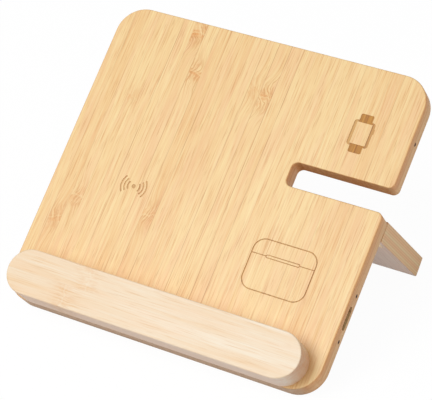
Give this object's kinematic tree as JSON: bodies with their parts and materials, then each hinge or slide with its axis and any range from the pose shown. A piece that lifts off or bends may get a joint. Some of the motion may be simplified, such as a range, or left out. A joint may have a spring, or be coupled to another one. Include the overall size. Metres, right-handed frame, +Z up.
{
  "type": "charging station organizer",
  "caption": "Bamboo charging dock: a slab with a side slot and burnt marks leans back on a folding rear leg, with a rounded bar along its lower edge that holds a phone.",
  "frame": {"origin": "middle of the overall box, on the table that the board's lower edge and the leg's end rest on", "axes": "+Z up, -Y towards the user, +X to the user's right, where the watch slot and the socket are"},
  "size_m": [0.2, 0.1666, 0.126],
  "materials": {
    "bamboo": "sanded and lightly oiled bamboo strips, burnt marks",
    "pale_bamboo": "sanded pale bamboo strips",
    "beech": "plain beech dowel",
    "black_plastic": "fine matte texture",
    "zinc_steel": "zinc plated",
    "hinge_brass": "satin brass plate",
    "screw_brass": "satin brass plate",
    "pin_steel": "bright steel",
    "copper_wire": "enamelled copper wire, wound flat",
    "ferrite": "sintered, matte",
    "nickel_magnet": "nickel plated",
    "lead_cover": "smooth insulation",
    "circuit_laminate": "green solder mask",
    "chip_resin": "moulded resin",
    "capacitor_ceramic": "fired ceramic",
    "light_resin": "clear resin over a pale lamp",
    "smoked_acrylic": "smoked acrylic, polished end",
    "socket_steel": "nickel plated sheet"
  },
  "bodies": {
    "stand": {"back_plate": "black_plastic", "back_plate_screws": "zinc_steel", "board_leads": "lead_cover", "capacitors": "capacitor_ceramic", "control_board": "circuit_laminate", "control_board_screws": "zinc_steel", "control_chips": "chip_resin", "earbuds_coil": "copper_wire", "earbuds_coil_leads": "lead_cover", "earbuds_ferrite": "ferrite", "front_board": "bamboo", "hinge_board_leaves": "hinge_brass", "hinge_board_screws": "screw_brass", "hinge_pins": "pin_steel", "indicator_lights": "light_resin", "ledge_dowels": "beech", "light_pipes": "smoked_acrylic", "phone_coil": "copper_wire", "phone_coil_leads": "lead_cover", "phone_ferrite": "ferrite", "phone_ledge": "pale_bamboo", "power_inductors": "ferrite", "socket_shell": "socket_steel", "socket_tongue": "black_plastic", "watch_board": "circuit_laminate", "watch_board_screws": "zinc_steel", "watch_chip": "chip_resin", "watch_coil": "copper_wire", "watch_coil_leads": "lead_cover", "watch_ferrite": "ferrite", "watch_magnet": "nickel_magnet"},
    "leg": {"rear_leg": "bamboo", "hinge_leg_leaves": "hinge_brass", "hinge_leg_screws": "screw_brass"}
  },
  "joints": [
    {"name": "leg_fold", "type": "hinge", "parent": "stand", "child": "leg", "pos_m": [0, 0.00987, 0.05843], "axis": [-1, 0, 0], "range_deg": [0, 94.6]}
  ]
}
